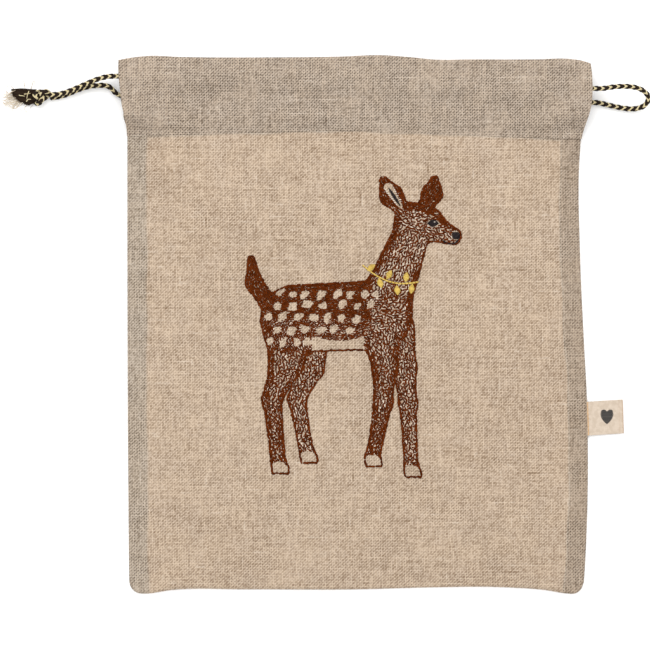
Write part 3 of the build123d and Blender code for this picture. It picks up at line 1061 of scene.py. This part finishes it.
# ---- Stitches ----
# Along a stitch: share of its length, share of its width, and how far it stands up in mm.
STITCH_ARCH = [
    (0.0, 0.35, -0.10),
    (0.16, 0.85, 0.05),
    (0.5, 1.0, 0.12),
    (0.84, 0.85, 0.05),
    (1.0, 0.35, -0.10),
]
STITCH_FLATNESS = 0.55


def stitches(name, ends, width, material, height, lift, around=5, seed=1):
    """Short thread stitches that arch over the cloth; ends holds x, y of each start and finish."""
    ends = np.asarray(ends, float)
    count = len(ends)
    rng = np.random.default_rng(seed)
    width = np.broadcast_to(width, (count,))
    share, swell, rise = np.array(STITCH_ARCH).T
    start, finish = ends[:, None, :2], ends[:, None, 2:]
    line = start + (finish - start) * share[None, :, None]
    run = finish[:, 0] - start[:, 0]
    length = np.linalg.norm(run, axis=1)[:, None]
    normal = np.stack([-run[:, 1], run[:, 0]], -1) / length
    ground = height(line[..., 0], line[..., 1])
    thick = width[:, None] / 2 * swell[None, :]
    rings = []
    for k in range(around):
        a = 2 * math.pi * k / around + math.pi / 2
        flat = line + (math.cos(a) * thick)[..., None] * normal[:, None, :]
        z = ground + lift + rise * (length / 2.5).clip(0.5, 1.2) + math.sin(a) * thick * STITCH_FLATNESS
        rings.append(np.concatenate([flat, z[..., None]], -1))
    points = np.stack(rings, 2).reshape(-1, 3)
    per = len(share) * around
    faces = []
    for i in range(count):
        faces += tube_faces(len(share), around, i * per)
    return new_object(name, points, faces, material, tones=np.repeat(rng.uniform(0, 1, count), per))


def running_stitches(edge, start, finish, step, length):
    """Ends of stitches in a row along y = edge(x)."""
    ends = []
    x = start
    while x < finish - length:
        ends.append((x, float(edge(x)), x + length, float(edge(x + length))))
        x += step
    return ends


def seam_rows():
    """The rows along the casings and the thread in the side and bottom seams."""
    low = float(body_left(CASING_Y)) + 2
    row = running_stitches(lambda x: band_low(x) + 1.7, low, 124, 3.1, 2.3)
    seams = []
    for edge, side in ((body_left, -1), (body_right, 1)):
        for y in np.arange(LOW_Y + 7, CASING_Y - 2, 3.0):
            seams.append((float(edge(y)) - side * 0.1, y, float(edge(y + 2.2)) - side * 0.1, y + 2.2))
    seams += running_stitches(lambda x: body_low_edge(x) + 0.1, -121, 121, 3.0, 2.2)
    for name, node, ends, width, top, lift, seed in (
        ("front_casing_row", "front_casing_stitching", row, 0.36, front_casing_top, -0.10, 2),
        ("back_casing_row", "back_casing_stitching", row, 0.36, back_casing_top, 0.03, 3),
        ("seam_thread", "seam_stitching", seams, 0.34, lambda x, y: SEAM_Z + 0 * x, 0.0, 4),
    ):
        obj = stitches(name, ends, width, beige_thread, top, lift, seed=seed)
        settle(obj, "pouch", "beige_thread", node)


# ---- Label ----
LABEL_LOW, LABEL_HIGH = (corner.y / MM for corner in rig.box("side_label"))
LABEL_MIDDLE = (LABEL_LOW + LABEL_HIGH) / 2
LABEL_HEIGHT = LABEL_HIGH - LABEL_LOW
LABEL_THICK = 0.34
LABEL_TILT = 0.066


def label_place(out, up):
    """Place of a point on the label: out from the seam, up along the seam."""
    x = body_right(LABEL_MIDDLE) + out - up * 0.035
    y = LABEL_MIDDLE + up + out * LABEL_TILT
    return x, y


def label_z(out, up):
    """Middle of the folded label: it leaves the seam and sags a little, one corner lifting."""
    return 1.75 - 0.35 * smooth(out / 12) + 0.30 * smooth((out - 9) / 12) * smooth((up + 4) / 14)


def side_label():
    """A folded ribbon tab: both layers in one thin closed form with a rounded fold at its free end."""
    half, length, hidden = LABEL_HEIGHT / 2, 20.2, 1.8
    out = crowded(70, 0.5) * (length + hidden) - hidden
    o, p = np.meshgrid(out, np.linspace(-half, half, 44))
    x, y = label_place(o, p)
    middle = label_z(o, p) + 0.03 * ripple(x, y, 51, 9)
    fold = 1 - np.clip((length - o) / LABEL_THICK, 0, 1)
    body = LABEL_THICK * np.sqrt(1 - fold**2)
    # tone: painted shade in the last 0.9 mm before the fold and along the pressed line at 17.9 mm.
    tone = 0.55 * smooth((o - length + 0.9) / 0.6) + 0.18 * np.exp(-(((o - 17.9) / 0.35) ** 2))
    obj = closed_sheet("side_label_ribbon", x, y, middle + body, middle - body, label_satin, tone)
    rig.replaces(obj, "side_label")
    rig.slot(obj, "label_satin")
    flat = (2 * length * MM, LABEL_HEIGHT * MM)
    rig.sheet(obj, flat=flat, area=flat[0] * flat[1] / 2, held="folded")
    hinge = float(body_right(LABEL_MIDDLE))
    start, end = (((hinge + past) * MM, LABEL_MIDDLE * MM, 0.0018) for past in (-0.6, 0.9))
    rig.blend(obj, "pouch", "label", start=start, end=end)


def label_top(x, y):
    out = x - float(body_right(LABEL_MIDDLE))
    return label_z(out, y - LABEL_MIDDLE - out * LABEL_TILT) + LABEL_THICK


def label_mark():
    """A plain heart in satin stitch, one row of thread above the other."""
    middle_x, middle_y = label_place(11.0, 0.2)
    size = 3.7
    ends = []
    for row in np.arange(-1.0, 1.24, 0.3 / size):
        for left, right in heart_spans(row):
            y = middle_y + (row - 0.12) * size
            ends.append((middle_x + left * size, y, middle_x + right * size, y + 0.08))
    obj = stitches("label_heart", ends, 0.36, charcoal_thread, label_top, 0.02, seed=6)
    settle(obj, "label", "charcoal_thread", "label_mark")


def heart_spans(row):
    """Where a level line crosses a plain heart outline."""
    x = np.linspace(-1.2, 1.2, 241)
    inside = (x**2 + row**2 - 1) ** 3 < x**2 * row**3
    edges = np.flatnonzero(np.diff(inside.astype(int)))
    return [(x[a], x[b]) for a, b in zip(edges[::2], edges[1::2]) if x[b] - x[a] > 0.08]


def label_root_thread():
    """Slanted amber stitches where the label is caught in the seam."""
    ends = []
    for up in np.arange(-9.3, 9.2, 0.75):
        a, b = label_place(-0.15, up), label_place(0.75, up + 0.55)
        ends.append((float(a[0]), float(a[1]), float(b[0]), float(b[1])))
    obj = stitches("label_root_row", ends, 0.5, amber_thread, lambda x, y: 2.1 + 0 * x, 0.0, seed=7)
    settle(obj, "pouch", "amber_thread", "label_seam_thread")


# ---- Embroidered deer ----
NEAR_HOOVES = [(-43, -81), (9, -77)]
FAR_HOOVES = [(-27, -75), (31, -83)]
HOOF_LENGTH = 5.5
SOLE_DROP = 2.5  # from a hoof's place down to its level sole


def hoof_limbs(hooves):
    """Each hoof widens and points forwards towards its sole."""
    return [((x, y + 2.5, 3.2), (x + 1.3, y - 0.6, 3.9)) for x, y in hooves]


# A plain young deer in profile, as tapered limbs from (x, y, radius) to (x, y, radius).
NEAR_LIMBS = [
    ((-34, 3, 18.5), (12, 5, 19)),  # barrel
    ((17, 14, 14), (30, 48, 10)),  # neck
    ((32, 57, 10.5), (40, 56, 9)),  # skull
    ((42, 54, 7.5), (54, 49, 4.5)),  # muzzle
    ((27, 63, 3.5), (19.5, 72, 5.6)),  # near ear
    ((19.5, 72, 5.6), (15.5, 80, 2.2)),
    ((38, 64, 3), (42.5, 73, 5)),  # far ear
    ((42.5, 73, 5), (44, 80.5, 2)),
    ((-37, 0, 15.5), (-39, -22, 9)),  # near hind leg
    ((-39, -22, 9), (-47, -42, 4.8)),
    ((-47, -42, 4.8), (-43, -81, 3.6)),
    ((14, -4, 11), (16, -24, 6.5)),  # near foreleg
    ((16, -24, 6.5), (15, -44, 4.6)),
    ((15, -44, 4.6), (9, -77, 3.4)),
    ((-50, 13, 4.6), (-57, 23, 4.1)),  # tail
    ((-57, 23, 4.1), (-58.5, 36, 1.8)),
] + hoof_limbs(NEAR_HOOVES)
FAR_LIMBS = [
    ((-26, -4, 12), (-26, -24, 7.5)),  # far hind leg
    ((-26, -24, 7.5), (-33, -42, 4.4)),
    ((-33, -42, 4.4), (-27, -75, 3.4)),
    ((23, -2, 9.5), (27, -24, 6)),  # far foreleg
    ((27, -24, 6), (29, -44, 4.4)),
    ((29, -44, 4.4), (31, -83, 3.4)),
] + hoof_limbs(FAR_HOOVES)
NEAR_EAR_FOLD = ((24.6, 66, 1.3), (18.2, 76, 2.7))
EYE = (43.2, 56.3)
NOSE = (56.2, 49.6)
MOUTH = [(57.4, 47.2), (55.8, 45.2), (53.4, 44.6), (51.0, 45.0), (48.8, 46.2)]
FILL_AREA = (-66, 64, -92, 88)  # left, right, low and high limits of the embroidery
SPOT_ROWS = [  # y, first x, last x and step of each row of spots
    (17.2, -43, 17, 7.8),
    (10.2, -47, 14, 8.4),
    (3.4, -49, 8, 8.4),
    (-3.6, -47, -1, 8.2),
    (-10.4, -48, -24, 7.8),
]


def limb_distance(x, y, limb):
    """Distance to a tapered limb, negative inside it."""
    (x1, y1, r1), (x2, y2, r2) = limb
    dx, dy = x2 - x1, y2 - y1
    t = np.clip(((x - x1) * dx + (y - y1) * dy) / (dx * dx + dy * dy), 0, 1)
    return np.hypot(x - x1 - t * dx, y - y1 - t * dy) - (r1 + t * (r2 - r1))


def joined_distance(x, y, limbs, blend=1.2):
    """Distance to limbs that flow into each other."""
    total = 0
    for limb in limbs:
        total = total + np.exp(-limb_distance(x, y, limb) / blend)
    return -blend * np.log(total + 1e-30)


def level_soles(x, y, distance, hooves):
    """The same distance, with the shape cut off level under each hoof."""
    for hoof_x, hoof_y in hooves:
        below = np.where(np.abs(x - hoof_x) < 8, hoof_y - SOLE_DROP - y, -99.0)
        distance = np.maximum(distance, below)
    return distance


def near_distance(x, y):
    return level_soles(x, y, joined_distance(x, y, NEAR_LIMBS), NEAR_HOOVES)


def far_distance(x, y):
    return level_soles(x, y, joined_distance(x, y, FAR_LIMBS), FAR_HOOVES)


def fur_angle(x, y):
    """The way the hair lies: along whichever limbs are near."""
    cos_sum, sin_sum = 0, 0
    for limb in NEAR_LIMBS + FAR_LIMBS:
        (x1, y1, _), (x2, y2, _) = limb
        angle = 2 * math.atan2(y2 - y1, x2 - x1)
        weight = np.exp(-limb_distance(x, y, limb) / 2.5)
        cos_sum = cos_sum + weight * math.cos(angle)
        sin_sum = sin_sum + weight * math.sin(angle)
    return np.arctan2(sin_sum, cos_sum) / 2


def back_spots():
    """Pale spots in loose rows over the back and rump, as (x, y, half length, half height, turn)."""
    rng = random.Random(23)
    spots = []
    for number, (y, x, last, step) in enumerate(SPOT_ROWS):
        x += (number % 2) * 3.4
        while x < last:
            place = (x + rng.uniform(-1.0, 1.0), y + rng.uniform(-1.0, 1.0))
            spots.append((*place, rng.uniform(2.1, 3.4), rng.uniform(1.6, 2.4), rng.uniform(0.2, 1.4)))
            x += step * rng.uniform(0.85, 1.15)
    return spots


SPOTS = back_spots()


def on_spot(x, y):
    inside = np.zeros(np.shape(x), bool)
    ragged = 1 + 0.45 * ripple(x, y, 61, 2.6)
    for spot_x, spot_y, long, high, turn in SPOTS:
        u = (x - spot_x) * math.cos(turn) + (y - spot_y) * math.sin(turn)
        v = -(x - spot_x) * math.sin(turn) + (y - spot_y) * math.cos(turn)
        inside |= np.abs(u / long) ** 1.8 + np.abs(v / high) ** 1.8 < ragged
    return inside


def left_bare(x, y):
    """Places with no brown thread: spots, hooves, inside the near ear, eye and nose."""
    bare = on_spot(x, y) | (limb_distance(x, y, NEAR_EAR_FOLD) < 0)
    for hoof_x, hoof_y in NEAR_HOOVES + FAR_HOOVES:
        bare |= np.hypot(x - hoof_x, y - hoof_y + 1.5) < HOOF_LENGTH
    bare |= np.hypot((x - EYE[0]) / 1.7, y - EYE[1]) < 2.0
    return bare | (np.hypot(x - NOSE[0], y - NOSE[1]) < 2.7)


def pale_belly(x, y):
    return (np.abs(x + 10) < 15) & (y < -9.0 + 0.012 * (x + 10) ** 2)


def thickly_sewn(x, y):
    """The back, rump, ears, brow, tail and the edges of the legs are sewn solid."""
    solid = (x < 6 + 2.0 * np.sin(y / 2.5)) & (y > -13 + 3 * np.sin(x / 5))
    solid |= (y > 64.5 + 1.5 * np.sin(x)) | (x < -49)
    distance = near_distance(x, y)
    solid |= (distance > -3.4) & (x > 22) & (y > 59.5 - 0.42 * (x - 38))
    return solid | ((np.abs(distance + 1.6) < 1.0) & (y < 62) & (x < 34))


def spread_out(points, gap, rng):
    """Picks points at random so that no two are closer than gap."""
    cells, kept = {}, []
    for i in rng.permutation(len(points)):
        x, y = points[i]
        column, row = int(x // gap), int(y // gap)
        near = [cells.get((column + a, row + b), ()) for a in (-1, 0, 1) for b in (-1, 0, 1)]
        if any((x - p) ** 2 + (y - q) ** 2 < gap * gap for cell in near for p, q in cell):
            continue
        cells.setdefault((column, row), []).append((x, y))
        kept.append(i)
    return points[kept]


def scattered(step, gap, rng, wanted):
    """Places at random, at least gap apart, where wanted(x, y) holds."""
    left, right, low, high = FILL_AREA
    x, y = np.meshgrid(np.arange(left, right, step), np.arange(low, high, step))
    x = x + rng.uniform(-step / 2, step / 2, x.shape)
    y = y + rng.uniform(-step / 2, step / 2, y.shape)
    chosen = wanted(x, y)
    return spread_out(np.stack([x[chosen], y[chosen]], -1), gap, rng)


def outline_stitches(distance, rng, wanted):
    """Stitches that follow the edge of a shape."""
    places = scattered(0.22, 1.2, rng, lambda x, y: (np.abs(distance(x, y)) < 0.2) & wanted(x, y))
    x, y = places.T
    step = 0.2
    slope_x = distance(x + step, y) - distance(x - step, y)
    slope_y = distance(x, y + step) - distance(x, y - step)
    angle = np.arctan2(slope_y, slope_x) + math.pi / 2 + rng.normal(0, 0.08, len(places))
    half = 1.15 * rng.uniform(0.85, 1.15, len(places))
    along = np.stack([np.cos(angle) * half, np.sin(angle) * half], -1)
    return np.concatenate([places - along, places + along], 1)


def fill_stitches(distance, wanted, rng, gap, length, stray):
    """Hair-like stitches over a shape, each cut short where it would reach into a bare place."""
    places = scattered(0.35, gap, rng, lambda x, y: (distance(x, y) < -0.3) & wanted(x, y))
    angle = fur_angle(*places.T) + rng.normal(0, stray, len(places))
    half = length / 2 * rng.uniform(0.75, 1.2, len(places))
    step = np.stack([np.cos(angle) * half, np.sin(angle) * half], -1)
    ends = []
    for way in (-1, 1):
        share = np.full(len(places), 1.0)
        for _ in range(3):
            x, y = (places + way * share[:, None] * step).T
            share = np.where(left_bare(x, y) | (distance(x, y) > 0.2), share * 0.55, share)
        ends.append(places + way * share[:, None] * step)
    return np.concatenate(ends, 1)


def deer():
    rng = np.random.default_rng(41)

    def brown(x, y):
        return ~left_bare(x, y) & ~pale_belly(x, y)

    def solid(x, y):
        return thickly_sewn(x, y) & brown(x, y)

    def hairy(x, y):
        return ~thickly_sewn(x, y) & brown(x, y)

    def far_hairy(x, y):
        return (near_distance(x, y) > 0.4) & ~left_bare(x, y)

    def filled(length, *patches):
        made = []
        for distance, wanted, gap, stray in patches:
            made.append(fill_stitches(distance, wanted, rng, gap, length, stray))
        return np.concatenate(made)

    body = filled(
        2.2,
        (near_distance, lambda x, y: solid(x, y) & (y > 3), 0.64, 0.25),
        (near_distance, lambda x, y: solid(x, y) & (y <= 3), 0.72, 0.40),
    )
    hair = filled(
        2.4,
        (near_distance, lambda x, y: hairy(x, y) & (y > 15), 1.18, 0.60),
        (near_distance, lambda x, y: hairy(x, y) & (y <= 15), 1.12, 0.70),
        (far_distance, far_hairy, 1.12, 0.65),
    )
    outline = np.concatenate([
        outline_stitches(near_distance, rng, lambda x, y: True),
        outline_stitches(far_distance, rng, lambda x, y: near_distance(x, y) > 0.3),
    ])
    open_work = np.concatenate([hair, outline])
    widths = np.repeat([0.90, 1.20], [len(hair), len(outline)])
    sew("fawn_solid_stitches", body, 0.68, brown_thread, 0.12, rng, "brown_thread", "fawn_embroidery")
    sew("fawn_open_stitches", open_work, widths, brown_thread, 0.12, rng, "brown_thread")
    ground = filled(
        2.0,
        (near_distance, lambda x, y: hairy(x, y) | (solid(x, y) & (y <= 3)), 1.35, 0.5),
        (far_distance, far_hairy, 1.35, 0.5),
    )
    sew("fawn_pale_ground_stitches", ground, 0.80, cream_thread, -0.02, rng, "beige_thread")
    deer_face(rng)
    deer_collar(rng)


def sew(name, ends, width, material, lift, rng, slot, node=None):
    width = width * rng.uniform(0.85, 1.15, len(ends))
    obj = stitches(name, ends, width, material, front_z, lift, around=4, seed=len(ends))
    settle(obj, "pouch", slot, node)


def zigzag(start, end, half, count):
    """Slanted stitches that go back and forth across a line, widest in its middle."""
    start, end = np.array(start, float), np.array(end, float)
    along = (end - start) / np.linalg.norm(end - start)
    across = np.array([-along[1], along[0]])
    ends = []
    for k in range(count):
        swell = half * math.sin(math.pi * (k + 0.6) / (count + 0.2)) + 0.15
        a = start + (end - start) * (k / count) - across * swell
        b = start + (end - start) * ((k + 0.8) / count) + across * swell
        ends.append((*a, *b))
    return ends


def deer_face(rng):
    """Eye, nose, mouth and the lines inside the ears in near-black thread, with a few white stitches."""
    (eye_x, eye_y), (nose_x, nose_y) = EYE, NOSE
    ends = zigzag((eye_x - 3.3, eye_y + 0.1), (eye_x + 2.9, eye_y - 0.1), 1.9, 14)
    ends += zigzag((nose_x - 2.2, nose_y + 1.5), (nose_x + 1.5, nose_y - 2.0), 2.2, 12)
    for rise in (0.0, 0.5):
        ends += [(*a, b[0] - 0.3, b[1] + rise) for a, b in zip(MOUTH, MOUTH[1:])]
    ends += zigzag(NEAR_EAR_FOLD[0][:2], NEAR_EAR_FOLD[1][:2], 0.8, 20)
    node = "embroidery_face_details"
    sew("fawn_face_stitches", ends, 0.62, dark_thread, 0.38, rng, "dark_thread", node)
    white = [
        (eye_x - 3.9, eye_y - 0.9, eye_x - 2.6, eye_y - 1.9),
        (eye_x - 2.4, eye_y - 2.1, eye_x - 0.4, eye_y - 2.5),
        (nose_x - 3.4, nose_y - 0.2, nose_x - 2.4, nose_y - 1.8),
        (51.4, 47.4, 53.4, 46.6),
    ]
    white += zigzag((22.8, 66.4), (16.0, 75.6), 0.6, 9) + zigzag((26.2, 66.8), (20.6, 77.0), 0.6, 9)
    sew("fawn_white_stitches", white, 0.50, white_thread, 0.12, rng, "beige_thread")
    glint = [(eye_x + 0.2, eye_y + 0.7, eye_x + 1.1, eye_y + 0.6)]
    sew("fawn_eye_glint", glint, 0.45, white_thread, 0.80, rng, "beige_thread")


COLLAR = [(3.5, 33), (9, 28.5), (13, 26), (18.5, 23.6), (24, 22.5), (29.5, 22.6), (35, 23.5)]
COLLAR_LEAVES = [  # middle of each leaf and the angle it points at, in degrees
    (8.5, 31.5, 35),
    (13.5, 22.8, -75),
    (18.5, 27.6, 60),
    (23, 18.8, -85),
    (28, 26.2, 80),
    (31, 19.6, -100),
]
LEAF = (2.7, 1.7)


def deer_collar(rng):
    """A plain gold collar: a line of back stitches with small satin-stitch leaves along it."""
    line, _ = resample(spline_points([(x, y, 0) for x, y in COLLAR]), 1.9)
    ends = []
    for rise in (-0.2, 0.2):
        ends += [(a[0], a[1] + rise, b[0], b[1] + rise) for a, b in zip(line, line[1:])]
    for x, y, degrees in COLLAR_LEAVES:
        turn = math.radians(degrees)
        ahead = LEAF[0] * math.cos(turn), LEAF[0] * math.sin(turn)
        ends += zigzag((x - ahead[0], y - ahead[1]), (x + ahead[0], y + ahead[1]), LEAF[1], 11)
    node = "embroidery_gold_collar"
    sew("fawn_collar_stitches", ends, 0.55, gold_thread, 0.44, rng, "gold_thread", node)


# ---- Stage ----
def stage():
    half = 4000
    points = [(-half, -half, 0), (half, -half, 0), (half, half, 0), (-half, half, 0)]
    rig.stage(new_object("floor", points, [(0, 1, 2, 3)], floor_material(), soft=False))
    world = bpy.data.worlds.new("studio")
    world.use_nodes = True
    world.node_tree.nodes["Background"].inputs[0].default_value = (1, 1, 1, 1)
    world.node_tree.nodes["Background"].inputs[1].default_value = 1.15
    bpy.context.scene.world = world
    area_light("key", (-0.40, 0.90, 1.35), 1.3, 14.0)
    area_light("fill", (0.80, 0.10, 1.4), 1.3, 4.6)
    bpy.context.scene.view_settings.view_transform = "Standard"


def area_light(name, place, size, power):
    light = bpy.data.lights.new(name, "AREA")
    light.size = size
    light.energy = power
    lamp = bpy.data.objects.new(name, light)
    lamp.location = place
    aim = Vector((0, 0, 0)) - lamp.location
    lamp.rotation_euler = aim.to_track_quat("-Z", "Y").to_euler()
    bpy.context.scene.collection.objects.link(lamp)


def camera():
    """Straight above, level with the table, wide enough for the tails and the loop."""
    view_width, distance = 0.364, 1.6
    data = bpy.data.cameras.new("camera")
    data.sensor_width = 36
    data.lens = data.sensor_width * distance / view_width
    obj = bpy.data.objects.new("camera", data)
    obj.location = (-0.01736, -0.00056, distance + 0.006)
    bpy.context.scene.collection.objects.link(obj)
    bpy.context.scene.camera = obj


camera()
stage()
drawstring()
cloth_panels()
seam_allowances()
casing("front_casing", front_base, front_cord_y, front_band_left, band_right, 41)
casing("back_casing", back_base, back_cord_y, back_band_left, back_band_right, 46)
seam_rows()
side_label()
label_mark()
label_root_thread()
deer()

bounds = {"cad": [list(c) for c in CAD_BOX], "visual": [list(c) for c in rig.bounds()]}
with open("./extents.json", "w") as handle:
    json.dump(bounds, handle)
